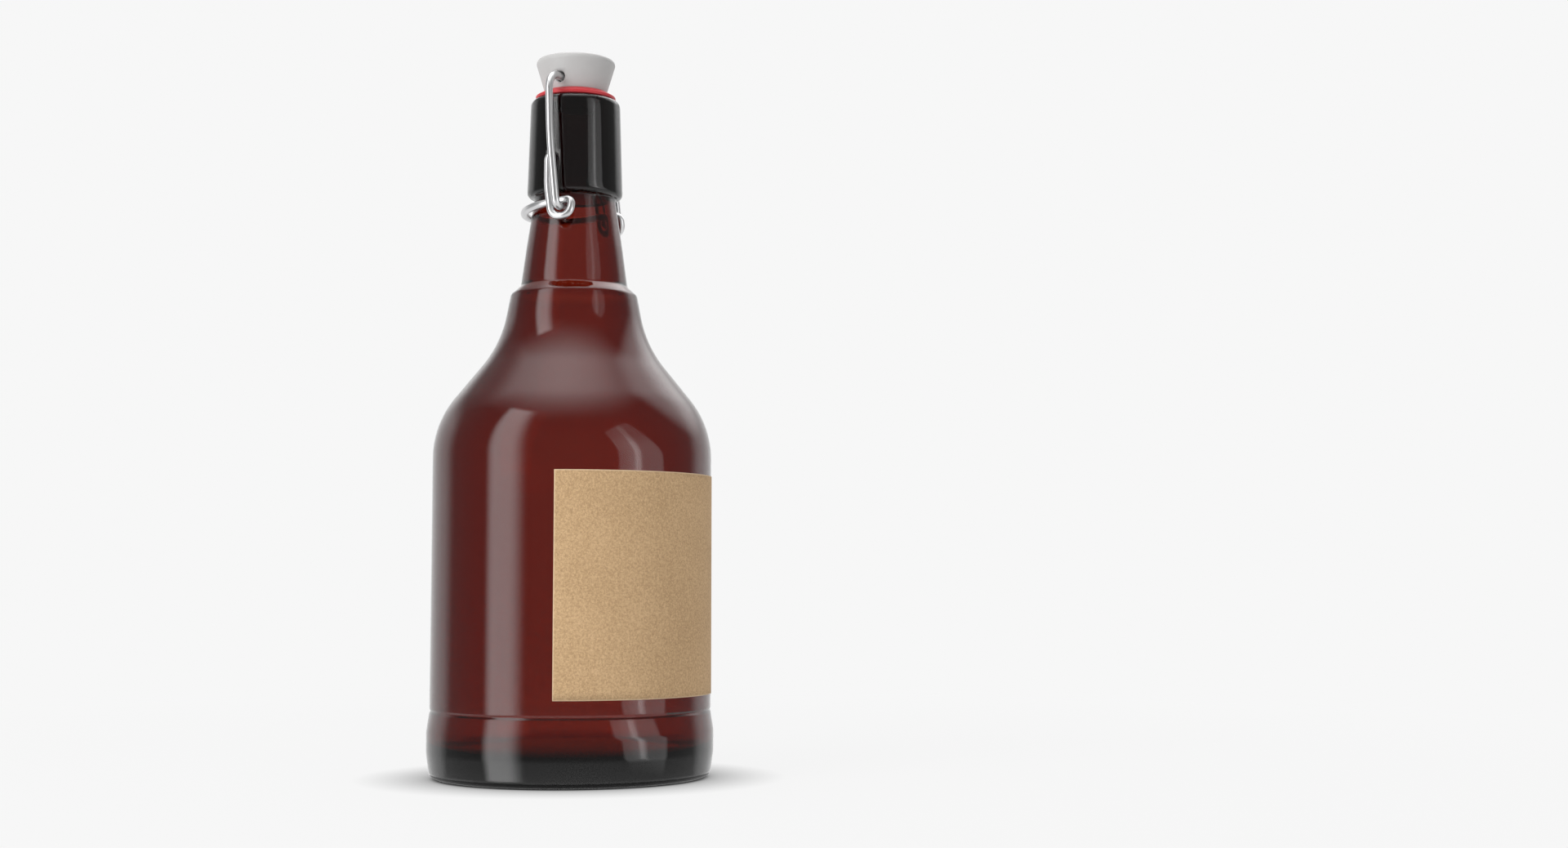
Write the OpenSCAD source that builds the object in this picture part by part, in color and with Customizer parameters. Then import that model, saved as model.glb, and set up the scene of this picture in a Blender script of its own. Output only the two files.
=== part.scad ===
// Swing top bottle: a 0.95 litre amber glass bottle with an over-centre wire closure.
// The glass holds 0.98 litre to the brim.
//
// Frame: +Z up, origin on the bottle's axis at the plane it stands on. The closure's
// hinges run along X, the label faces -Y and the thumb loop lies behind the neck at +Y.
// The closure is drawn shut: the lever has passed its dead centre and the gasket is tight.

/* [Body] */
// Diameter of the straight body
body_d = 100; // [90:1:110]
// Height at which the straight body would meet the shoulder's slope
shoulder_h = 125.7; // [122:0.1:136]
// Thickness of the glass in the body and shoulder
wall = 2.6; // [2:0.1:4.5]
// Height of the flared heel band
heel_h = 24; // [20:1:28]
// How far the heel stands proud of the body
heel_flare = 1.05; // [0.4:0.05:2]
// Radius of the corner between heel and base
heel_corner = 3; // [2:0.5:4.5]

/* [Base] */
// Diameter of the domed push-up under the base
punt_d = 77; // [64:1:82]
// Height of the steep edge round the push-up
punt_edge_h = 1.6; // [0.8:0.1:2.4]
// Height of the push-up at its centre
punt_h = 7.5; // [4:0.5:9]
// Thickness of the glass over the push-up
floor_t = 5; // [4:0.5:8]
// Radius of the corner inside, between floor and wall
floor_corner = 9; // [7:0.5:13]

/* [Shoulder and neck] */
// Rise of the shoulder's slope, up to where it turns towards the step
shoulder_rise = 29.2; // [26:0.1:33]
// Radius of the bottle where the slope turns up
shoulder_top_r = 26.35; // [25:0.05:29]
// Bending radius of the shoulder where it leaves the body
shoulder_bend = 34; // [26:1:36]
// Bending radius of the hollow between slope and step
hollow_bend = 42; // [30:1:46]
// Rise from there to the step's outer edge
hollow_rise = 18.1; // [16:0.1:21]
// Radius of the step's outer edge
step_r = 22.85; // [22:0.05:24]
// Radius of the neck where it leaves the step
neck_foot_r = 19.3; // [18.5:0.05:20.2]
// Rise of the step from its outer edge to the neck
step_rise = 3.2; // [2.4:0.1:4]
// Height of the neck between step and collar
neck_h = 32.6; // [28:0.1:37]
// Radius of the neck half way up
neck_mid_r = 17.35; // [16.8:0.05:17.8]
// Rise from the neck's foot to where that radius is measured
neck_mid_rise = 14.4; // [11:0.1:17]
// Radius of the neck under the collar
neck_top_r = 14.6; // [14:0.05:15]

/* [Finish] */
// Height of the thick collar, from its foot to the lip
collar_h = 36.2; // [32:0.1:40]
// Radius of the collar at its foot
collar_foot_r = 17.35; // [16.9:0.05:17.5]
// Radius of the collar at the lip
collar_lip_r = 16.2; // [15.8:0.05:16.8]
// Rounding of the lip's outer edge
lip_round = 2.7; // [1.5:0.1:3]
// Rounding of the collar's lower edge
collar_round = 2.1; // [1.2:0.1:2.4]
// Diameter of the mouth's bore
bore_d = 19; // [17.5:0.5:20]

/* [Wire closure] */
// Diameter of the spring wire
wire_d = 2.8; // [2.4:0.1:3]
// Height of the lever's pivot above the collar's foot
pivot_rise = 12.2; // [11:0.1:14]
// How far a lever end reaches into its dimple
pivot_grip = 2.2; // [1.6:0.1:2.8]
// Depth of the bail's hinge below the lever's pivot
eye_drop = 19; // [18:0.25:20]
// How far the bail's hinge lies in front of the lever's pivot when shut
eye_offset = 5.5; // [4.5:0.1:6]
// Radius of the lever's eye at the wire's centre
eye_r = 3.4; // [3.3:0.1:4]
// Clearance between the collar and the lever's arms
arm_gap = 1.45; // [1:0.05:2.2]
// How far the arms spread towards the eyes
arm_spread = 1; // [0.5:0.1:1.5]
// How far an arm bows back between its dimple and its eye
arm_bow = 0.8; // [0.4:0.1:1.2]
// Clearance between the neck and the thumb loop
loop_gap = 1.9; // [1.5:0.1:2.5]
// How much lower the thumb loop hangs at its back than at the eyes
loop_drop = 2.6; // [1.5:0.1:3]
// Height of the stopper's cross hole above the lip
cross_hole_rise = 6.5; // [6:0.25:7.5]
// How much nearer the middle the bail's shoulders stand than its feet
bail_taper = 3.85; // [3.2:0.05:4.6]
// How much nearer the middle the bail's legs stand half way up than at the feet
bail_bow = 0.3; // [0.2:0.1:1]
// Bending radius of the bail's shoulders
bail_bend = 7.5; // [5:0.5:7.5]

/* [Stopper and gasket] */
// Height of the stopper above the gasket
stopper_h = 12.3; // [11:0.1:14]
// Diameter across the top of the stopper
stopper_top_d = 29.8; // [28:0.1:31]
// Diameter across the foot of the stopper's cone
stopper_foot_d = 22.4; // [21.5:0.1:24]
// Diameter of the cross hole that the bail runs through
cross_hole_d = 4; // [3.4:0.1:4.4]
// Diameter of the stem that carries the gasket
stem_d = 12.4; // [11:0.1:13]
// Diameter of the button that keeps the gasket on the stem
button_d = 14.2; // [13.8:0.1:14.6]
// Depth of the button below the lip
button_depth = 4.6; // [3.5:0.1:5.5]
// Thickness of the gasket
gasket_t = 2.7; // [2.4:0.1:3.2]
// Diameter of the gasket
gasket_d = 29.2; // [27:0.1:30]

/* [Label] */
// Width of the label along the glass
label_w = 120; // [90:1:135]
// Height of the label
label_h = 77.6; // [60:0.1:80]
// Height of the label's lower edge
label_foot_h = 29.7; // [29:0.1:32]
// Thickness of the label's paper
label_t = 0.15; // [0.1:0.05:0.3]

/* [Hidden] */

// Fits
pivot_fit = 0.05;       // radial clearance of a lever end in its dimple
dimple_floor_gap = 0.3; // glass to the tip of a lever end
wire_gap = 0.15;        // clearance between the wires where they pass each other
glue_t = 0.02;          // adhesive behind the label
seat_gap = 0.02;        // lip to gasket
run_lap = 0.12;         // how far a straight run of wire reaches into a bend
bend_swell = 0.01;      // how much a bend stands proud of a run

// Smoothness: the angle between the points of a rounded outline
arc_step = 5;
turn_fn = 96;

// Places that several pieces share
body_r = body_d / 2;
bore_r = bore_d / 2;
wire_r = wire_d / 2;
shoulder_top_h = shoulder_h + shoulder_rise;
step_h = shoulder_top_h + hollow_rise;
neck_foot_h = step_h + step_rise;
neck_mid_h = neck_foot_h + neck_mid_rise;
collar_foot_h = neck_foot_h + neck_h;
lip_h = collar_foot_h + collar_h;
pivot_h = collar_foot_h + pivot_rise;
eye_h = pivot_h - eye_drop;
cross_hole_h = lip_h + cross_hole_rise;
pivot_collar_r = collar_foot_r + (collar_lip_r - collar_foot_r) * pivot_rise / collar_h;
stopper_foot_h = lip_h + gasket_t;

// ---- Outlines -------------------------------------------------------------------

function unit(v) = v / norm(v);

// Points of one corner, given as [x, y, rounding], between its two neighbours.
function corner(before, at, after) =
    let (
        p = [at[0], at[1]],
        u = unit([before[0], before[1]] - p),
        v = unit([after[0], after[1]] - p),
        half = acos(max(-1, min(1, u * v))) / 2,
        centre = p + unit(u + v) * at[2] / sin(half),
        start = p + u * at[2] / tan(half) - centre,
        end = p + v * at[2] / tan(half) - centre,
        from = atan2(start[1], start[0]),
        sweep = ((atan2(end[1], end[0]) - from + 540) % 360) - 180,
        steps = max(2, ceil(abs(sweep) / arc_step))
    )
    [for (i = [0:steps]) centre + at[2] * [cos(from + sweep * i / steps), sin(from + sweep * i / steps)]];

// An open outline through corners; one with a rounding of 0 stays sharp.
function rounded(corners) =
    [for (i = [0:len(corners) - 1])
        each (corners[i][2] == 0
            ? [[corners[i][0], corners[i][1]]]
            : corner(corners[i - 1], corners[i], corners[i + 1]))];

// The corner q of the line p-q-r, moved to the left of the way from p to r by t.
function inset(p, q, r, t) =
    let (
        u = unit(q - p),
        v = unit(r - q),
        side_u = [-u[1], u[0]],
        side_v = [-v[1], v[0]]
    )
    q + unit(side_u + side_v) * t / cos(acos(side_u * side_v) / 2);

// ---- Bent wire --------------------------------------------------------------------

// A straight run of wire from a to b.
module straight_wire(a, b, d) {
    run = b - a;
    translate(a)
        rotate([0, acos(run[2] / norm(run)), atan2(run[1], run[0])])
            cylinder(h = norm(run), d = d, $fn = 32);
}

// A bend of radius r at the corner between two straight runs.
module wire_bend(before, at, after, r, d) {
    u = unit(at - before);
    v = unit(after - at);
    turn = acos(u * v);
    start = at - u * r * tan(turn / 2);
    out = unit(cross(cross(u, v), u)) * -1;
    centre = start - out * r;
    up = cross(out, u);
    multmatrix([
        [out[0], u[0], up[0], centre[0]],
        [out[1], u[1], up[1], centre[1]],
        [out[2], u[2], up[2], centre[2]],
        [0, 0, 0, 1]
    ])
        rotate_extrude(angle = turn, $fn = turn_fn)
            translate([r, 0])
                circle(d = d, $fn = 32);
}

// How much of a straight run each corner's bend takes up.
function bend_reach(points, bends, i) =
    i == 0 || i == len(points) - 1 ? 0 :
    let (turn = acos(unit(points[i] - points[i - 1]) * unit(points[i + 1] - points[i])))
    bends[i] * tan(turn / 2);

// A wire bent at each of its points, as a wire former bends it. A bend is a hair
// thicker than the runs, which end inside it, so the pieces join cleanly.
module bent_wire(points, bends, d) {
    last = len(points) - 1;
    for (i = [0:last - 1]) {
        along = unit(points[i + 1] - points[i]);
        from = i == 0 ? 0 : bend_reach(points, bends, i) - run_lap;
        to = i == last - 1 ? 0 : bend_reach(points, bends, i + 1) - run_lap;
        straight_wire(points[i] + along * from, points[i + 1] - along * to, d);
    }
    for (i = [1:last - 1])
        wire_bend(points[i - 1], points[i], points[i + 1], bends[i], d + 2 * bend_swell);
}

// The whole of a path whose second half mirrors the first, which ends at x = 0.
function across(points) =
    let (last = len(points) - 2)
    concat(
        [for (i = [0:last]) points[i]],
        [for (i = [last:-1:0]) [-points[i][0], points[i][1], points[i][2]]]
    );
function there_and_back(bends) =
    let (last = len(bends) - 2)
    concat([for (i = [0:last]) bends[i]], [for (i = [last:-1:0]) bends[i]]);

// Both halves of a piece that is the same on either side.
module both_sides() {
    children();
    mirror([1, 0, 0]) children();
}

// ---- Bottle -----------------------------------------------------------------------

heel_r = body_r + heel_flare;
heel_tuck = 1.2;              // how far the heel draws in towards the base
heel_full_low = 0.4 * heel_h; // the heel is at its fullest between these heights
heel_full_high = 0.7 * heel_h;
punt_r = punt_d / 2;
punt_edge_lean = 1;           // how far the push-up's edge leans in over its height
punt_crown_r = 0.55 * punt_r; // where the push-up starts to level out
punt_crown_drop = 0.6;        // how much lower it is there than at its centre
punt_crown_bend = 70;
punt_edge_bends = [2, 0.7];   // at the top and at the foot of the push-up's edge
heel_bends = [12, 8];         // where the heel reaches and leaves its fullest

shoulder_foot = [body_r, shoulder_h];
shoulder_top = [shoulder_top_r, shoulder_top_h];
step_edge = [step_r, step_h];
neck_foot = [neck_foot_r, neck_foot_h];
step_round = 1.8;
neck_foot_round = 1.4;
neck_bend = 60;
seam_angle = 45;              // the mould's seam lies between a dimple and the thumb loop
collar_ledge = collar_foot_r - neck_top_r;
collar_under_rise = 0.4;      // the collar's underside slopes by this much
collar_fillet = min(collar_round, 0.75 * collar_ledge);
neck_fillet = min(0.6, 0.2 * collar_ledge);
mouth_round = 1.2;
mouth_h = lip_h - 3;          // below its rounding the bore is straight

// Outer skin, from the middle of the push-up round the heel and up to the mouth.
outside = [
    [0, punt_h, 0],
    [punt_crown_r, punt_h - punt_crown_drop, punt_crown_bend],
    [punt_r - punt_edge_lean, punt_edge_h, punt_edge_bends[0]],
    [punt_r, 0, punt_edge_bends[1]],
    [heel_r - heel_tuck, 0, heel_corner],
    [heel_r, heel_full_low, heel_bends[0]],
    [heel_r, heel_full_high, heel_bends[1]],
    [body_r, heel_h, 0],
    [shoulder_foot[0], shoulder_foot[1], shoulder_bend],
    [shoulder_top[0], shoulder_top[1], hollow_bend],
    [step_edge[0], step_edge[1], step_round],
    [neck_foot[0], neck_foot[1], neck_foot_round],
    [neck_mid_r, neck_mid_h, neck_bend],
    [neck_top_r, collar_foot_h - collar_under_rise, neck_fillet],
    [collar_foot_r, collar_foot_h, collar_fillet],
    [collar_lip_r, lip_h, lip_round],
    [bore_r, lip_h, mouth_round],
    [bore_r, mouth_h, 0]
];

// Inner skin, from the bore down to the middle of the floor. It follows the outer one,
// out into the heel as well, and leaves the collar and the floor thick.
neck_wall = wall + 0.2;
bore_foot_h = collar_foot_h + 4;
bore_foot_bend = 12;
inner_neck_bend = 30;
inner_step_bend = 20;
inner_heel_bend = 60;
inner_shoulder_top = inset(shoulder_foot, shoulder_top, step_edge, wall);
inner_shoulder_foot = inset([body_r, 0], shoulder_foot, shoulder_top, wall);
floor_h = punt_edge_h + floor_t;
inside = [
    [bore_r, mouth_h, 0],
    [bore_r, bore_foot_h, bore_foot_bend],
    [neck_mid_r - neck_wall, neck_mid_h, inner_neck_bend],
    [neck_foot[0] - neck_wall, neck_foot[1], inner_step_bend],
    [inner_shoulder_top[0], inner_shoulder_top[1], hollow_bend + wall],
    [inner_shoulder_foot[0], inner_shoulder_foot[1], shoulder_bend - wall],
    [body_r - wall, heel_h, inner_heel_bend],
    [heel_r - wall, floor_h, floor_corner],
    [punt_crown_r, punt_h - punt_crown_drop + floor_t, punt_crown_bend],
    [0, punt_h + floor_t, 0]
];

// A dimple in the collar: a blind bore for the lever's end, flared at its mouth.
module dimple() {
    depth = pivot_grip + dimple_floor_gap;
    flare_h = 0.8;
    flare_w = 2;
    translate([pivot_collar_r - depth, 0, pivot_h])
        rotate([0, 90, 0]) {
            cylinder(h = depth + flare_h, r = wire_r + pivot_fit, $fn = 48);
            translate([0, 0, depth - flare_h])
                cylinder(h = 2 * flare_h, d1 = wire_d, d2 = wire_d + 2 * flare_w, $fn = 48);
        }
}

module bottle() {
    color([0.36, 0.1, 0.06])
        difference() {
            rotate([0, 0, seam_angle])
                rotate_extrude($fn = turn_fn)
                    polygon(concat(rounded(outside), rounded(inside)));
            both_sides() dimple();
        }
}

// ---- Label ------------------------------------------------------------------------

module label() {
    skin_r = body_r + glue_t;
    span = label_w / skin_r * 180 / PI;
    color([0.78, 0.63, 0.46])
        translate([0, 0, label_foot_h])
            rotate([0, 0, -90 - span / 2])
                rotate_extrude(angle = span, $fn = turn_fn)
                    translate([skin_r, 0])
                        square([label_t, label_h]);
}

// ---- Lever ------------------------------------------------------------------------

// Each end turns into a dimple, an arm runs down to an eye of one full turn, and the
// thumb loop joins the two eyes behind the neck.
pivot_tip_x = pivot_collar_r - pivot_grip;
arm_x = collar_foot_r + arm_gap + wire_r;
eye_x = arm_x + arm_spread;
eye_lean = 0.8;               // an eye's front stands this much nearer the middle
eye_seat_gap = 0.4;           // between the bail's end and the bottom of the eye
eye_centre_h = eye_h + eye_r - wire_d - eye_seat_gap;
eye_foot_h = eye_centre_h - eye_r;
eye_back_y = -eye_offset + eye_r;
eye_front_y = -eye_offset - eye_r;
strand_x = eye_x - wire_d - wire_gap;
strand_lean = 0.3;
loop_r = neck_top_r + loop_gap + wire_r;
strand_drop = loop_drop * eye_r / (loop_r - eye_front_y); // from the eye's front to the bail
strand_h = eye_h + wire_d + wire_gap + strand_drop;
loop_h = strand_h - loop_drop;
small_bend = 2.2;
arm_bend = 30;
front_bend = eye_r - 0.1;     // the eye closes in a little towards its front

lever_points = [
    [pivot_tip_x, 0, pivot_h],
    [arm_x, 0, pivot_h],
    [(arm_x + eye_x) / 2, eye_back_y / 2 + arm_bow, (pivot_h + eye_foot_h) / 2],
    [eye_x, eye_back_y, eye_foot_h],
    [eye_x - eye_lean, eye_front_y, eye_foot_h],
    [strand_x + strand_lean, eye_front_y, strand_h],
    [loop_r, loop_r, loop_h],
    [0, loop_r, loop_h]
];
lever_bends = [0, small_bend, arm_bend, eye_r, front_bend, small_bend, loop_r - strand_lean, 0];

module lever_wire() {
    color([0.8, 0.8, 0.8])
        bent_wire(across(lever_points), there_and_back(lever_bends), wire_d);
}

// ---- Bail -------------------------------------------------------------------------

// Runs through the stopper's cross hole, bows out past the collar and turns in through
// the lever's eyes.
bail_foot_x = eye_x + wire_d + wire_gap;
bail_tip_x = strand_x - wire_r;
bail_shoulder_x = bail_foot_x - bail_taper;
bail_bow_bend = 120;
bail_foot_bend = 2.6;

bail_points = [
    [bail_tip_x, -eye_offset, eye_h],
    [bail_foot_x, -eye_offset, eye_h],
    [bail_foot_x - bail_bow, -eye_offset / 2, (cross_hole_h + eye_h) / 2],
    [bail_shoulder_x, 0, cross_hole_h],
    [0, 0, cross_hole_h]
];
bail_bends = [0, bail_foot_bend, bail_bow_bend, bail_bend, 0];

module bail_wire() {
    color([0.8, 0.8, 0.8])
        bent_wire(across(bail_points), there_and_back(bail_bends), wire_d);
}

// ---- Stopper and gasket -----------------------------------------------------------

stopper_r = stopper_top_d / 2;
cone_foot_r = stopper_foot_d / 2;
stem_r = stem_d / 2;
button_r = button_d / 2;
button_round = 1.4;
crown_round = 1.7;
foot_round = 0.4;
button_foot_z = -gasket_t - button_depth;

stopper_outline = [
    [0, button_foot_z, 0],
    [button_r, button_foot_z, button_round],
    [button_r, -gasket_t, 0],
    [stem_r, -gasket_t, 0],
    [stem_r, 0, 0],
    [cone_foot_r, 0, foot_round],
    [stopper_r, stopper_h, crown_round],
    [0, stopper_h, 0]
];

module stopper() {
    color([0.86, 0.85, 0.84])
        difference() {
            translate([0, 0, stopper_foot_h])
                rotate_extrude($fn = turn_fn)
                    polygon(rounded(stopper_outline));
            translate([-stopper_r, 0, cross_hole_h])
                rotate([0, 90, 0])
                    cylinder(h = 2 * stopper_r, d = cross_hole_d, $fn = 48);
        }
}

gasket_r = gasket_d / 2;
gasket_edge_h = 0.42 * gasket_t; // the gasket is widest here and tapers to the stopper
gasket_draft = 0.2;
gasket_round = 0.4;
gasket_ledge = 0.7;              // how far its top reaches past the stopper's foot

gasket_outline = [
    [stem_r, seat_gap, 0],
    [gasket_r - gasket_draft, seat_gap, gasket_round],
    [gasket_r, gasket_edge_h, gasket_round],
    [cone_foot_r + gasket_ledge, gasket_t, gasket_round],
    [stem_r, gasket_t, 0]
];

module gasket() {
    color([0.75, 0.12, 0.13])
        translate([0, 0, lip_h])
            rotate_extrude($fn = turn_fn)
                polygon(rounded(gasket_outline));
}

// ---- Assembly ---------------------------------------------------------------------

bottle();
label();
lever_wire();
bail_wire();
stopper();
gasket();
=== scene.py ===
import math

import bmesh
import bpy
from mathutils import Matrix, Vector


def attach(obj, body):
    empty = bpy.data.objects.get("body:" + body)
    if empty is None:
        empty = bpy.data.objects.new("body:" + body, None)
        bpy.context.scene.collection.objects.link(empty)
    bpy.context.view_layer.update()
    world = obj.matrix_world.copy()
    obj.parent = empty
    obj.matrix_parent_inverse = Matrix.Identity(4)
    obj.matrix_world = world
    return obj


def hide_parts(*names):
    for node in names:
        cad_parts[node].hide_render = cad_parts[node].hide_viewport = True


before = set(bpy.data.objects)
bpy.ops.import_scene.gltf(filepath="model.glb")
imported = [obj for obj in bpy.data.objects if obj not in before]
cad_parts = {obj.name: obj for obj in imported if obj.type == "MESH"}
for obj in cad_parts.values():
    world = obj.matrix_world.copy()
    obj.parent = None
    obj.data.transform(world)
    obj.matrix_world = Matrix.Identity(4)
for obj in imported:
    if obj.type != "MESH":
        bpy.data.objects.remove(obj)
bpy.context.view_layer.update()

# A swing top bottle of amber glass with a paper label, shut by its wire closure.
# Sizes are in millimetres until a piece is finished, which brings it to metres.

# ---- Camera -----------------------------------------------------------------------
# It stands low and close, looks slightly up past the bottle's right side and sees the
# label's left edge and the whole near side of the closure.

camera_away = 0.74246
camera_height = 0.06941
camera_azimuth = math.radians(-61.54)
camera_aside = math.radians(5.901)
camera_tilt = math.radians(4.414)
camera_side = Vector((math.sin(camera_azimuth), -math.cos(camera_azimuth), 0))

camera = bpy.data.objects.new("camera", bpy.data.cameras.new("camera"))
camera.data.sensor_width = 36
camera.data.lens = 46.965
camera.data.clip_start = 0.01
camera.data.clip_end = 60
camera.location = camera_side * camera_away + Vector((0, 0, camera_height))
camera.rotation_euler = (math.radians(90) + camera_tilt, 0, camera_azimuth - camera_aside)
bpy.context.scene.collection.objects.link(camera)
bpy.context.scene.camera = camera
bpy.context.scene.view_settings.view_transform = "Standard"


# ---- Studio -----------------------------------------------------------------------
# A seamless pale sweep behind, a tall soft box on the left, two that lean and overlap on
# the right, and a soft glow overhead that comes down behind on the right. Only the
# bottle's shadow darkens the sweep: a faint one cast by the lamps, and a painted contact
# shadow close round its base.

class Signal:
    """An output socket. Sums and products of it add the Math nodes that work them out."""

    def __init__(self, tree, socket):
        self.tree = tree
        self.socket = socket

    def maths(self, operation, first, second=None):
        return Finish.add(self.tree, "ShaderNodeMath", [first, second], operation=operation)

    def __add__(self, other):
        return self.maths("ADD", self, other)

    def __radd__(self, other):
        return self.maths("ADD", other, self)

    def __sub__(self, other):
        return self.maths("SUBTRACT", self, other)

    def __rsub__(self, other):
        return self.maths("SUBTRACT", other, self)

    def __mul__(self, other):
        return self.maths("MULTIPLY", self, other)

    def __rmul__(self, other):
        return self.maths("MULTIPLY", other, self)

    def __pow__(self, other):
        return self.maths("POWER", self, other)

    def above(self, other):
        return self.maths("MAXIMUM", self, other)

    def between(self, outside, inside):
        """A soft step from 0 at outside to 1 at inside, whichever of the two is larger."""
        return Finish.add(self.tree, "ShaderNodeMapRange", [self, outside, inside, 0, 1],
                          interpolation_type="SMOOTHSTEP")


class Finish:
    """A node tree being put together, of a material or of the world."""

    def __init__(self, name, tree=None):
        if tree is None:
            self.material = bpy.data.materials.new(name)
            self.material.use_nodes = True
            tree = self.material.node_tree
        self.tree = tree
        self.tree.nodes.clear()

    @staticmethod
    def add(tree, kind, inputs=(), out=0, stops=None, **settings):
        """Any node, from its settings, a ramp's stops, and its sockets' values or links."""
        node = tree.nodes.new(kind)
        for key, value in settings.items():
            setattr(node, key, value)
        if stops:
            ramp = node.color_ramp
            while len(ramp.elements) < len(stops):
                ramp.elements.new(1)
            for element, (place, colour) in zip(ramp.elements, stops):
                element.position = place
                element.color = colour
        named = inputs.items() if isinstance(inputs, dict) else enumerate(inputs)
        for key, value in named:
            if isinstance(value, Signal):
                tree.links.new(value.socket, node.inputs[key])
            elif value is not None:
                node.inputs[key].default_value = value
        return Signal(tree, node.outputs[out]) if node.outputs else None

    def node(self, kind, inputs=(), **settings):
        return Finish.add(self.tree, "ShaderNode" + kind, inputs, **settings)

    def mix(self, factor, first, second):
        """A colour between two, by a number from 0 to 1."""
        return self.node("Mix", {0: factor, 6: first, 7: second}, out=2, data_type="RGBA")

    def spot(self):
        return self.node("TexCoord", out="Object")

    def noise(self, scale, detail=2.0, roughness=0.5):
        return self.node("TexNoise", {
            "Vector": self.spot(), "Scale": scale, "Detail": detail, "Roughness": roughness})

    def bump(self, height, strength, distance):
        return self.node("Bump", {"Strength": strength, "Distance": distance, "Height": height})

    def ray(self, kind):
        """1 for rays of one kind, such as Camera or Glossy, and 0 for the others."""
        return self.node("LightPath", out="Is " + kind + " Ray")

    def shining(self, strength):
        return self.node("Emission", {"Color": (1, 1, 1, 1), "Strength": strength})

    def surface(self, shader, volume=None, kind="Material"):
        """Ends the tree. Returns the material, if it is one."""
        ends = {"Surface": shader, "Volume": volume}
        self.node("Output" + kind, {key: end for key, end in ends.items() if end})
        return getattr(self, "material", None)


# The sweep as it is seen, the room and the floor as glass and metal mirror them, and the
# light that falls on everything.
pale_level = 0.93
room_level = 0.26
floor_level = 0.95
light_level = 0.62

world = bpy.data.worlds.new("room")
world.use_nodes = True
bpy.context.scene.world = world
room = Finish("room", world.node_tree)
heading = room.node("VectorMath", [room.node("TexCoord", out="Generated")], operation="NORMALIZE")


def towards(direction):
    """How directly a ray heads in a direction: 1 straight along it, 0 square to it."""
    sides = [heading, tuple(direction)]
    return room.node("VectorMath", sides, out="Value", operation="DOT_PRODUCT")


def way(back, right, up):
    """A direction in the room, from how far it goes behind the bottle, right and up."""
    return (Vector((0, 0, up)) - camera_side * back + right_side * right).normalized()


right_side = Vector((-camera_side.y, camera_side.x, 0))
overhead = way(0.25, -0.06, 1)
right_back = way(0.5, 0.56, 0.66)
left_back = way(0.62, -0.5, 0.6)

# Both angles are in degrees, the azimuth from the camera's side to the right.
turn = room.node("Math", [towards(right_side), towards(camera_side)], operation="ARCTAN2")
rise = room.node("Math", [towards((0, 0, 1))], operation="ARCSINE")
azimuth = turn * math.degrees(1)
elevation = rise * math.degrees(1)

left_box = (3.2 * azimuth.between(-76, -66) * azimuth.between(-36, -53)
            * elevation.between(50, 46) * elevation.between(-36, -20))

# The right boxes lean, with a bright ridge where they overlap and an arched top.
lean = azimuth + elevation * 0.5
lean_out = azimuth + elevation.above(0) * 0.9
arch = elevation + (azimuth - 56) * (azimuth - 56) * 0.012
right_boxes = (lean.between(38, 41) * lean_out.between(84, 80)
               * arch.between(37, 33) * elevation.between(-20, -9))
ridge = 0.3 * lean.between(42, 54) + 0.7 * lean.between(52, 55)
overlap = (ridge * lean.between(62, 56)
           * (1 - 0.5 * elevation.between(5, 30)) * elevation.between(-15, -3))
fading = 1.12 - 0.5 * elevation.between(10, 24)
boxes = left_box + right_boxes * (0.95 + 2.3 * overlap) * fading

# The glow hangs overhead, fades to the left and comes down behind on the right.
glow_edge = 0.42
aside = towards(right_side) + 0.07
narrowing = (1 - 2.1 * aside * aside).above(0)
ceiling = ((towards(overhead) - glow_edge) * (1 / (1 - glow_edge))).above(0) ** 1.65
glow = (2.9 * ceiling * narrowing * (1 - 0.85 * towards(left_back).between(0.86, 1))
        + 1.15 * towards(right_back).between(0.86, 0.98))

# The sweep stands behind, lower on the left, and the floor lies below.
upper_left = elevation.between(17, 32) * towards(right_side).between(0.1, -0.25)
behind = (towards(-camera_side).between(0.34, 0.62) * elevation.between(-32, -12)
          * (1 - upper_left) * (pale_level - room_level))
below = elevation.between(0, -32) * (floor_level - room_level)

mirrored = room_level + behind.above(below) + boxes + glow
lit = light_level * (1 - 0.5 * towards(right_side))
seen = room.ray("Camera").above(room.ray("Transmission"))
glossy = room.ray("Glossy")
level = seen * pale_level + (1 - seen) * (glossy * mirrored + (1 - glossy) * lit)
room.surface(room.node("Background", {"Color": (1, 1, 1, 1), "Strength": level}), kind="World")

floor_mesh = bmesh.new()
bmesh.ops.create_circle(floor_mesh, cap_ends=True, radius=9, segments=96)
floor_data = bpy.data.meshes.new("floor")
floor_mesh.to_mesh(floor_data)
floor_mesh.free()
floor = bpy.data.objects.new("floor", floor_data)
bpy.context.scene.collection.objects.link(floor)

# Near the bottle the floor takes a faint shadow cast by the lamps and a painted contact
# shadow where the bottle stands close, and far away it is the sweep. Glass and metal
# mirror the room through it, except under the base, where they see a painted shade.
# The lamps light a plain floor.
ground = Finish("floor")
distance = ground.node("VectorMath", [ground.spot()], out="Value", operation="LENGTH")
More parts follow.
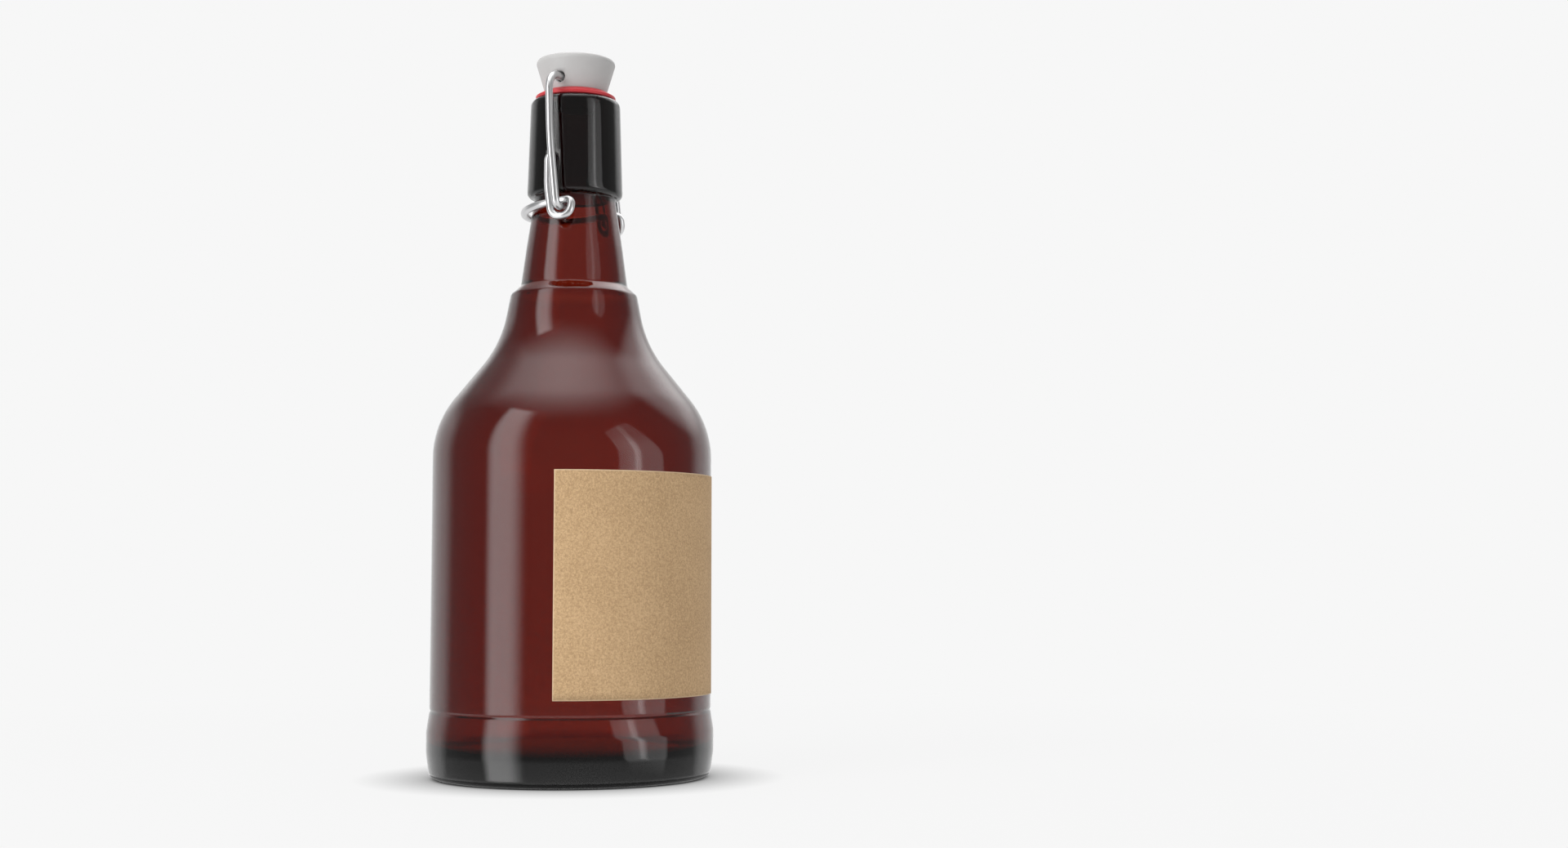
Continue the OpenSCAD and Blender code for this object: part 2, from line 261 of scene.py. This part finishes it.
# Painted contact shadow: the floor's glow fades to dark where the bottle stands near.
painted_contact_shadow = ground.node("AmbientOcclusion", {"Distance": 0.027}, out="AO", samples=16)
catcher = ground.node("BsdfDiffuse", {"Color": (0.06, 0.06, 0.06, 1)})
open_floor = ground.node("AddShader", [catcher, ground.shining(0.86)])
near_floor_with_painted_shadow = ground.node("MixShader", [painted_contact_shadow ** 1.1, ground.shining(0.02), open_floor])
shown = ground.node("MixShader", [distance.between(0.2, 0.55), near_floor_with_painted_shadow, ground.shining(pale_level)])
plain = ground.node("BsdfDiffuse", {"Color": (0.8, 0.8, 0.8, 1)})
directly = ground.ray("Camera").above(ground.ray("Transmission"))
for_others = ground.node("MixShader", [directly, plain, shown])
open_air = ground.node("BsdfTransparent")
# Painted shade: under the base, glass and metal mirror a dim glow in place of the room.
painted_shade_under_base = distance.between(0.0518, 0.0508)
mirrored_floor_with_painted_shade = ground.node("MixShader", [painted_shade_under_base, open_air, ground.shining(0.3)])
sweep = ground.node("MixShader", [ground.ray("Glossy"), for_others, mirrored_floor_with_painted_shade])
floor_data.materials.append(ground.surface(sweep))


def soft_lamp(name, turn, rise, width, height, radiance, away=1.3):
    """A rectangular lamp, some degrees to the right of the camera's side and up."""
    turn = math.radians(turn)
    rise = math.radians(rise)
    level_out = camera_side * math.cos(turn) + right_side * math.sin(turn)
    out = level_out * math.cos(rise) + Vector((0, 0, math.sin(rise)))
    lamp = bpy.data.lights.new(name, "AREA")
    lamp.shape = "RECTANGLE"
    lamp.size = width
    lamp.size_y = height
    lamp.energy = radiance * math.pi * width * height
    obj = bpy.data.objects.new(name, lamp)
    obj.location = out * away + Vector((0, 0, 0.1))
    obj.rotation_euler = out.to_track_quat("Z", "Y").to_euler()
    obj.visible_glossy = False
    bpy.context.scene.collection.objects.link(obj)


soft_lamp("left_lamp", -48, 28, 0.7, 1.2, 3.55)
soft_lamp("right_lamp", 45, 22, 0.7, 1.0, 1.0)
soft_lamp("top_lamp", 180, 80, 1.0, 1.0, 1.6)


# ---- Bottle -----------------------------------------------------------------------
# Blown amber glass, thick in the floor and the collar and thin elsewhere. It stands on a
# ring of small knurls, and the lever turns in two dimples moulded into the collar.

def eased(corners, step=8):
    """A line through corners, each a point followed by the radius that rounds it."""
    points = [Vector(corner[:-1]).to_3d() for corner in corners]
    line = []
    for i, corner in enumerate(corners):
        radius = corner[-1]
        at = points[i]
        if radius == 0:
            line.append(at)
            continue
        u = (points[i - 1] - at).normalized()
        v = (points[i + 1] - at).normalized()
        half = u.angle(v) / 2
        centre = at + (u + v).normalized() * radius / math.sin(half)
        start = (at + u * radius / math.tan(half) - centre).normalized()
        end = (at + v * radius / math.tan(half) - centre).normalized()
        turn = start.angle(end)
        count = max(2, math.ceil(math.degrees(turn) / step), math.ceil(turn * radius / 1.6))
        line += [centre + start.slerp(end, i / count) * radius for i in range(count + 1)]
    return line


def stretched(line, longest):
    """The same line with points added wherever two are further apart than longest."""
    full = [line[0]]
    for a, b in zip(line, line[1:]):
        count = max(1, math.ceil((b - a).length / longest))
        full += [a.lerp(b, i / count) for i in range(1, count + 1)]
    return full


def turned(outline, steps):
    """A round body from an outline of [radius, height] points that starts and ends on the
    axis, or is closed."""
    bm = bmesh.new()
    verts = [bm.verts.new((p.x, 0, p.y)) for p in outline]
    for a, b in zip(verts, verts[1:]):
        bm.edges.new((a, b))
    if outline[0].x > 0.01:
        bm.edges.new((verts[-1], verts[0]))
    bmesh.ops.spin(bm, geom=bm.verts[:] + bm.edges[:], cent=(0, 0, 0), axis=(0, 0, 1),
                   angle=math.tau / 4, steps=steps // 4, use_merge=False)
    for turn in (math.tau / 4, math.tau / 2):
        copy = bmesh.ops.duplicate(bm, geom=bm.verts[:] + bm.edges[:] + bm.faces[:])["geom"]
        bmesh.ops.rotate(bm, cent=(0, 0, 0), matrix=Matrix.Rotation(turn, 3, "Z"),
                         verts=[g for g in copy if isinstance(g, bmesh.types.BMVert)])
    bmesh.ops.remove_doubles(bm, verts=bm.verts, dist=0.0005)
    bmesh.ops.recalc_face_normals(bm, faces=bm.faces)
    return bm


def round_edge(bm, side, height, reach, radius, inner_x, radius_at):
    """Opens a square window in the wall at +X or -X and closes it down to a round edge
    that lies on the wall. Returns the round edge."""
    window = []
    for face in bm.faces:
        middle = face.calc_center_median()
        if middle.x * side > inner_x and abs(middle.y) < reach and abs(middle.z - height) < reach:
            window.append(face)
    edges = {e for face in window for e in face.edges}
    border = [e for e in edges if sum(face in window for face in e.link_faces) == 1]
    bmesh.ops.delete(bm, geom=window, context="FACES")
    turn = Matrix.Translation((0, 0, height)) @ Matrix.Rotation(math.radians(90), 4, "Y")
    ring = bmesh.ops.create_circle(bm, segments=len(border), radius=radius, matrix=turn)["verts"]
    for v in ring:
        v.co.x = side * math.sqrt(radius_at(v.co.z) ** 2 - v.co.y ** 2)
    edge = list({e for v in ring for e in v.link_edges})
    bmesh.ops.bridge_loops(bm, edges=border + edge)
    return edge


def drawn_in(bm, edge, side, x, share, height):
    """Carries a round edge on to a flat circle at x, share times as wide."""
    made = bmesh.ops.extrude_edge_only(bm, edges=edge)["geom"]
    verts = [g for g in made if isinstance(g, bmesh.types.BMVert)]
    for v in verts:
        v.co = Vector((side * x, v.co.y * share, height + (v.co.z - height) * share))
    return [g for g in made if isinstance(g, bmesh.types.BMEdge)
            and g.verts[0] in verts and g.verts[1] in verts]


def finished(name, bm, material, body, slot, *nodes):
    """The piece as an object in metres, riding on its body in place of the CAD nodes."""
    bmesh.ops.scale(bm, vec=(0.001, 0.001, 0.001), verts=bm.verts)
    data = bpy.data.meshes.new(name)
    bm.to_mesh(data)
    bm.free()
    data.polygons.foreach_set("use_smooth", [True] * len(data.polygons))
    data.materials.append(material)
    obj = bpy.data.objects.new(name, data)
    bpy.context.scene.collection.objects.link(obj)
    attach(obj, body)
    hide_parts(*nodes)


body_r = 50.0
heel_r = 51.05
heel_h = 24.0
groove_depth = 0.3
punt_r = 38.5
punt_h = 7.5
punt_crown_r = 21.2
punt_crown_h = punt_h - 0.6
shoulder_foot = Vector((body_r, 125.7))
shoulder_top = Vector((26.35, 154.9))
step_foot_r = 22.85
step_foot = Vector((step_foot_r, 173))
step_top_r = 19.3
step_top_h = 176.2
neck_foot_r = 17.35
neck_foot_h = 190.6
neck_r = 14.6
collar_foot_r = 17.35
collar_foot_h = 208.8
collar_lip_r = 16.2
lip_h = 245.0

wall = 2.6
floor_t = 5.0
bore_r = 9.5

knurls = 92
knurl_h = 0.32
knurl_in_r = 43.0
knurl_out_r = 44.6
steps = knurls * 3

pivot_h = 221.0
pivot_depth = 2.5
pivot_bore_r = 1.45
dimple_r = 2.2
dimple_foot_h = pivot_h - dimple_r - 0.9
dimple_top_h = pivot_h + dimple_r + 0.9


def collar_r(height):
    share = (height - collar_foot_h) / (lip_h - collar_foot_h)
    return collar_foot_r + (collar_lip_r - collar_foot_r) * share


def inset(before, at, after, depth):
    """The corner of an outline moved inwards, with both its sides a depth further in."""
    u = (at - before).normalized()
    v = (after - at).normalized()
    inwards = (u.orthogonal() + v.orthogonal()).normalized()
    return at + inwards * depth / inwards.dot(u.orthogonal())


# Both lines give radius, height and rounding: the outside from the push-up over the
# knurls, heel, groove, shoulder, step, neck and collar to the lip, the inside back down.
# Two points on the collar's straight side bound the windows for its dimples.
outside = eased([
    (0, punt_h, 0),
    (punt_crown_r, punt_crown_h, 70),
    (punt_r - 1, 1.6 + knurl_h, 2),
    (punt_r, knurl_h, 0.7),
    (knurl_in_r, knurl_h, 0),
    (knurl_out_r, knurl_h, 0),
    (heel_r - 1.2, knurl_h, 3),
    (heel_r, 0.4 * heel_h, 12),
    (heel_r, 0.7 * heel_h, 8),
    (body_r + 0.08, heel_h - 0.8, 0.4),
    (body_r - groove_depth, heel_h, 0.35),
    (body_r, heel_h + 0.8, 0.4),
    (*shoulder_foot, 34),
    (*shoulder_top, 42),
    (*step_foot, 1.8),
    (step_top_r, step_top_h, 1.4),
    (neck_foot_r, neck_foot_h, 60),
    (neck_r, collar_foot_h - 0.4, 0.55),
    (collar_foot_r, collar_foot_h, 2.05),
    (collar_r(dimple_foot_h), dimple_foot_h, 0),
    (collar_r(dimple_top_h), dimple_top_h, 0),
    (collar_lip_r, lip_h, 2.7),
    (bore_r, lip_h, 1.2),
    (bore_r, lip_h - 3, 0),
])
inside = eased([
    (bore_r, lip_h - 3, 0),
    (bore_r, collar_foot_h + 8, 8),
    (neck_r - wall, collar_foot_h, 12),
    (neck_foot_r - wall, neck_foot_h, 60),
    (step_top_r - wall, step_top_h, 6),
    (step_foot_r - wall, 172.2, 6),
    (*inset(shoulder_foot, shoulder_top, step_foot, wall), 42 + wall),
    (*inset(Vector((body_r, heel_h)), shoulder_foot, shoulder_top, wall), 34 - wall),
    (body_r - wall, heel_h, 8),
    (heel_r - wall, 0.7 * heel_h, 8),
    (heel_r - wall, 4 + floor_t, 4),
    (punt_crown_r, punt_crown_h + floor_t, 70),
    (0, punt_h + floor_t, 0),
])
glass = turned(stretched(outside, 3) + stretched(inside, 8)[1:], steps)

# Every third facet of the ring on the base stands down as a knurl.
knurl_faces = []
for face in glass.faces:
    middle = face.calc_center_median()
    if middle.z < knurl_h + 0.01 and knurl_in_r < middle.xy.length < knurl_out_r:
        facet = round(math.atan2(middle.y, middle.x) * steps / math.tau - 0.5)
        if facet % 3 == 0:
            knurl_faces.append(face)
bmesh.ops.inset_individual(glass, faces=knurl_faces, thickness=0.24, depth=knurl_h - 0.01)


# Each dimple has a flared mouth, a straight bore and a floor with a round corner.
dimple = [
    (0.5, 0.75),
    (0.9, pivot_bore_r / (0.75 * dimple_r)),
    (pivot_depth - 0.4, 1),
    (pivot_depth, 0.6),
]
for side in (1, -1):
    edge = round_edge(glass, side, pivot_h, dimple_top_h - pivot_h, dimple_r, bore_r + 3, collar_r)
    for depth, share in dimple:
        edge = drawn_in(glass, edge, side, collar_r(pivot_h) - depth, share, pivot_h)
    bmesh.ops.edgeloop_fill(glass, edges=edge)
bmesh.ops.recalc_face_normals(glass, faces=glass.faces)

amber = Finish("amber_glass")
ripple = amber.bump(amber.noise(70, detail=1), 0.02, 0.0004)
melt = amber.node("BsdfPrincipled", {
    "Base Color": (1, 1, 1, 1),
    "Roughness": 0.03,
    "IOR": 1.5,
    "Transmission Weight": 1.0,
    "Normal": ripple})
tint = amber.node("VolumeAbsorption", {"Color": (0.655, 0.204, 0.017, 1), "Density": 1200.0})
finished("bottle_glass", glass, amber.surface(melt, tint), "bottle", "amber_glass", "bottle")


# ---- Label ------------------------------------------------------------------------
# A rectangle of uncoated kraft paper, glued round the front of the body. The sheet is
# flecked with fine fibres and its cut edges are a little lighter.

label_w = 120.0
label_h = 77.6
label_foot_h = 29.7
label_t = 0.15
label_r = body_r + 0.02
label_span = label_w / label_r
label_middle_h = label_foot_h + label_h / 2

paper = bmesh.new()
bmesh.ops.create_grid(paper, x_segments=1, y_segments=24, size=0.5)
bmesh.ops.delete(paper, geom=[v for v in paper.verts if v.co.x > 0], context="VERTS")
bmesh.ops.scale(paper, vec=(0, label_h, 1), verts=paper.verts)
bmesh.ops.rotate(paper, cent=(0, 0, 0), verts=paper.verts,
                 matrix=Matrix.Rotation(math.radians(90), 3, "X"))
bmesh.ops.translate(paper, vec=(label_r, 0, label_middle_h), verts=paper.verts)
bmesh.ops.rotate(paper, cent=(0, 0, 0), verts=paper.verts,
                 matrix=Matrix.Rotation(math.radians(-90) - label_span / 2, 3, "Z"))
bmesh.ops.spin(paper, geom=paper.verts[:] + paper.edges[:], cent=(0, 0, 0), axis=(0, 0, 1),
               angle=label_span, steps=160, use_merge=False)

# The sheet faces the glass while it is thin, so its thickness grows away from the glass.
bmesh.ops.recalc_face_normals(paper, faces=paper.faces)
if sum(f.normal.dot(f.calc_center_median()) for f in paper.faces) > 0:
    bmesh.ops.reverse_faces(paper, faces=paper.faces)
bmesh.ops.solidify(paper, geom=paper.faces[:], thickness=label_t)

kraft = Finish("kraft_paper")
cloud = kraft.noise(45, detail=2)
grain = kraft.noise(1300, detail=3, roughness=0.65)
fibre = kraft.noise(3200, detail=1)
speck = kraft.noise(620, detail=1).between(0.7, 0.78)
colour = kraft.node("ValToRGB", [cloud * 0.12 + grain * 0.55 + fibre * 0.33], stops=[
    (0.39, (0.40, 0.257, 0.130, 1)),
    (0.5, (0.51, 0.338, 0.180, 1)),
    (0.61, (0.615, 0.418, 0.235, 1))])
colour = kraft.mix(speck * 0.35, colour, (0.30, 0.18, 0.09, 1))

# How far a spot lies past the label's nearest edge, in millimetres; it is negative inside.
across, along, up = [kraft.node("SeparateXYZ", [kraft.spot()], out=axis) for axis in "XYZ"]
round_way = kraft.node("Math", [across, 0 - along], operation="ARCTAN2")
past_side = kraft.node("Math", [round_way], operation="ABSOLUTE") * label_r - label_w / 2
past_end = kraft.node("Math", [up * 1000 - label_middle_h], operation="ABSOLUTE") - label_h / 2
cut_edge = past_side.above(past_end).between(-0.5, -0.1)
colour = kraft.mix(cut_edge * 0.6, colour, (0.80, 0.62, 0.42, 1))
sheet = kraft.node("BsdfPrincipled", {
    "Base Color": colour, "Roughness": 0.85, "Normal": kraft.bump(grain + fibre, 0.25, 0.0001)})
finished("label_paper", paper, kraft.surface(sheet), "bottle", "kraft_paper", "label")


# ---- Wires ------------------------------------------------------------------------
# Bright spring wire of 2.8 mm, bent cold. The lever turns in the collar's dimples, and
# its eyes carry the bail, which runs through the stopper.

wire_r = 1.4
cross_hole_h = 251.5

eye_x = 21.2
eye_r = 3.4
eye_h = 202.0
eye_foot_h = eye_h - 3.2
eye_front = 5.5
arm_x = 20.2
strand_x = 18.25
strand_h = 205.28
loop_r = 17.9
loop_h = 202.68
bail_foot_x = 24.15
bail_top_x = 20.3

# Half of each wire: from the dimple down the arm, round the eye and into the thumb loop,
# and from the eye up the leg and into the stopper.
lever_half = [
    (collar_r(pivot_h) - 2.2, 0, pivot_h, 0),
    (arm_x, 0, pivot_h, 2.2),
    ((arm_x + eye_x) / 2, (eye_r - eye_front) / 2 + 0.8, (pivot_h + eye_foot_h) / 2, 30),
    (eye_x, eye_r - eye_front, eye_foot_h, eye_r),
    (eye_x - 0.8, -eye_r - eye_front, eye_foot_h, eye_r - 0.1),
    (strand_x + 0.3, -eye_r - eye_front, strand_h, 2.2),
    (loop_r, loop_r, loop_h, loop_r - 0.3),
]
bail_half = [
    (strand_x - wire_r, -eye_front, eye_h, 0),
    (bail_foot_x, -eye_front, eye_h, 2.6),
    (bail_foot_x - 0.3, -eye_front / 2, (cross_hole_h + eye_h) / 2, 120),
    (bail_top_x, 0, cross_hole_h, 7.5),
]


def bent_wire(name, half):
    """A round wire along a path and its mirror image, with slightly rounded ends."""
    path = eased(half + [(-x, y, z, r) for x, y, z, r in reversed(half)], step=5)
    first = [path[0].lerp(path[1], share) for share in (0, 0.03, 0.08)]
    last = [path[-1].lerp(path[-2], share) for share in (0.08, 0.03, 0)]
    path = first + path[1:-1] + last
    curve = bpy.data.curves.new(name, "CURVE")
    curve.dimensions = "3D"
    curve.bevel_depth = wire_r
    curve.bevel_resolution = 6
    curve.use_fill_caps = True
    spline = curve.splines.new("POLY")
    spline.points.add(len(path) - 1)
    for point, at in zip(spline.points, path):
        point.co = (*at, 1)
    for i, share in enumerate((0.72, 0.92)):
        spline.points[i].radius = share
        spline.points[-1 - i].radius = share
    rod = bpy.data.objects.new(name, curve)
    bpy.context.scene.collection.objects.link(rod)
    bm = bmesh.new()
    bm.from_mesh(rod.to_mesh())
    rod.to_mesh_clear()
    bpy.data.objects.remove(rod)
    bmesh.ops.remove_doubles(bm, verts=bm.verts, dist=0.001)
    bmesh.ops.recalc_face_normals(bm, faces=bm.faces)
    return bm


steel = Finish("spring_wire")
wear = steel.node("MapRange", [steel.noise(400, detail=3), 0.3, 0.7, 0.3, 0.34])
bright = steel.node("BsdfPrincipled", {
    "Base Color": (0.7, 0.7, 0.705, 1), "Metallic": 1.0, "Roughness": wear})
spring_wire = steel.surface(bright)
lever = bent_wire("lever", lever_half)
bail = bent_wire("bail", bail_half)
finished("lever", lever, spring_wire, "lever", "spring_wire", "lever_wire")
finished("bail", bail, spring_wire, "bail", "spring_wire", "bail_wire")


# ---- Stopper ----------------------------------------------------------------------
# A moulded cone with a stem below it for the gasket and a button in the mouth. The
# bail's bar turns in the hole that crosses it.

stopper_foot_h = lip_h + 2.7
stopper_h = 12.3
stopper_top_r = 14.9
cone_foot_r = 11.2
stem_r = 6.2
button_r = 7.1
button_foot_h = lip_h - 4.6
hole_r = 2.0
hole_rim = 0.35

stopper = turned(stretched(eased([
    (0, button_foot_h, 0),
    (button_r, button_foot_h, 1.4),
    (button_r, lip_h, 0.15),
    (stem_r, lip_h, 0.15),
    (stem_r, stopper_foot_h, 0.15),
    (cone_foot_r, stopper_foot_h, 0.4),
    (stopper_top_r, stopper_foot_h + stopper_h, 1.7),
    (0, stopper_foot_h + stopper_h, 0),
]), 0.7), 160)


def cone_r(height):
    return cone_foot_r + (stopper_top_r - cone_foot_r) * (height - stopper_foot_h) / stopper_h


hole_ends = []
for side in (1, -1):
    edge = round_edge(stopper, side, cross_hole_h, 2.9, hole_r + hole_rim, stem_r + 1, cone_r)
    hole_ends += drawn_in(stopper, edge, side, cone_r(cross_hole_h) - hole_rim,
                          hole_r / (hole_r + hole_rim), cross_hole_h)
bmesh.ops.bridge_loops(stopper, edges=hole_ends)
bmesh.ops.recalc_face_normals(stopper, faces=stopper.faces)

moulding = Finish("stopper_plastic")
mottle = moulding.noise(300, detail=4)
shade = moulding.mix(mottle, (0.45, 0.442, 0.438, 1), (0.485, 0.48, 0.475, 1))
satin = moulding.node("BsdfPrincipled", {
    "Base Color": shade,
    "Roughness": 0.45,
    "Specular IOR Level": 0.3,
    "Normal": moulding.bump(moulding.noise(1800), 0.08, 0.0001)})
finished("stopper_cone", stopper, moulding.surface(satin), "stopper", "stopper_plastic", "stopper")


# ---- Gasket -----------------------------------------------------------------------
# A ring of soft red rubber, stretched over the button on to the stem. The bail pulls the
# stopper down on it, and it seals the lip.

gasket_r = 14.6
gasket_t = 2.7
seat_gap = 0.02

gasket = turned(stretched(eased([
    (stem_r, lip_h + seat_gap, 0.1),
    (gasket_r - 0.2, lip_h + seat_gap, 0.4),
    (gasket_r, lip_h + 0.42 * gasket_t, 0.4),
    (cone_foot_r + 0.7, lip_h + gasket_t, 0.4),
    (stem_r, lip_h + gasket_t, 0.1),
    (stem_r, lip_h + gasket_t / 2, 0),
], step=9), 1.5), 144)

rubber = Finish("red_rubber")
bloom = rubber.noise(500, detail=3)
soft = rubber.node("BsdfPrincipled", {
    "Base Color": rubber.mix(bloom, (0.50, 0.025, 0.033, 1), (0.60, 0.035, 0.045, 1)),
    "Roughness": 0.45,
    "Normal": rubber.bump(rubber.noise(2500), 0.1, 0.0001)})
finished("gasket_ring", gasket, rubber.surface(soft), "stopper", "red_rubber", "gasket")
